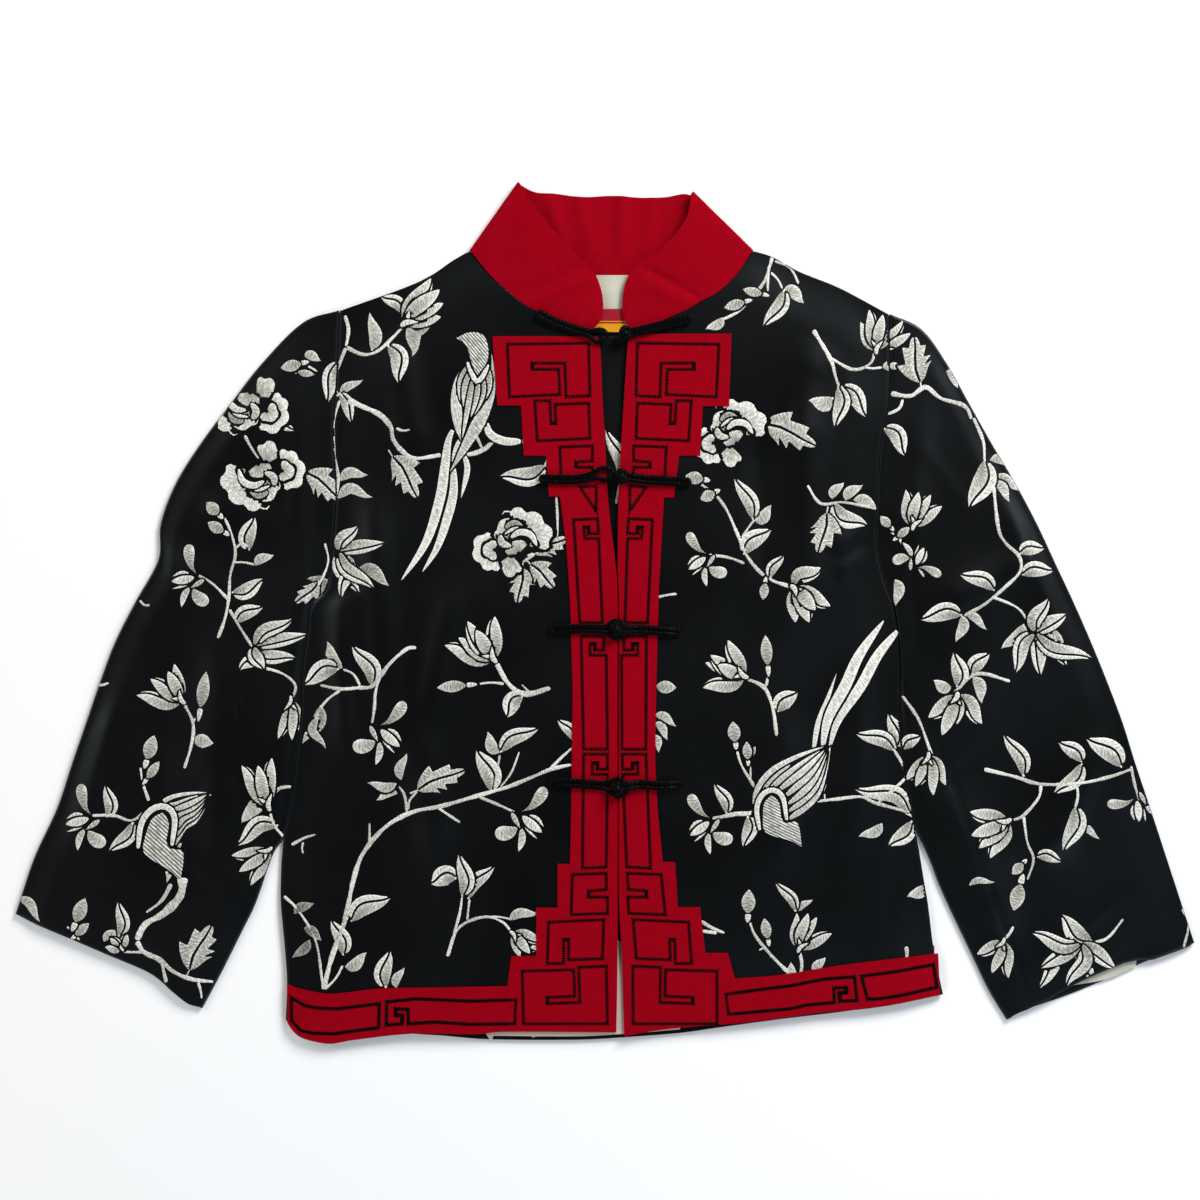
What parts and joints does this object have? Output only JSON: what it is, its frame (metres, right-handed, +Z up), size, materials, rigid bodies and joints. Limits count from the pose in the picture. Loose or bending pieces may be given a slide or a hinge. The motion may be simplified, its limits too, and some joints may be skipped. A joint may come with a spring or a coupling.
{
  "type": "tang jacket",
  "caption": "Embroidered black satin tang jacket with red stand collar, stepped front trims and knotted frogs, laid flat with wide sleeves spread",
  "frame": {"origin": "on the surface that the jacket lies on, under the middle of its spread-out length and width", "axes": "+X towards the wearer's left cuff, +Y towards the collar, +Z up from the surface through the fastened front"},
  "size_m": [0.941, 0.6874, 0.0187],
  "materials": {
    "black_satin": "black satin with silver-white satin-stitch embroidery",
    "red_twill": "crimson twill with black satin-stitch fret lines",
    "cream_lining": "cream lining satin",
    "label_weave": "plain woven label, red with a gold field",
    "black_cord": "black satin cord"
  },
  "bodies": {
    "root": {"back_hem_band": "red_twill", "back_panel": "black_satin", "collar": "red_twill", "cuff_lining_left": "cream_lining", "frog_chest_ball": "black_cord", "frog_chest_knot_cord": "black_cord", "frog_chest_loop": "black_cord", "frog_lower_ball": "black_cord", "frog_lower_knot_cord": "black_cord", "frog_lower_loop": "black_cord", "frog_neck_ball": "black_cord", "frog_neck_knot_cord": "black_cord", "frog_neck_loop": "black_cord", "frog_waist_ball": "black_cord", "frog_waist_knot_cord": "black_cord", "frog_waist_loop": "black_cord", "front_panel_left": "black_satin", "front_panel_right": "black_satin", "hem_band_left": "red_twill", "hem_band_right": "red_twill", "hem_lining": "cream_lining", "neck_label": "label_weave", "neck_lining": "cream_lining", "sleeve_left": "black_satin", "sleeve_right": "black_satin", "trim_left": "red_twill", "trim_right": "red_twill", "underlap": "black_satin"}
  },
  "joints": []
}
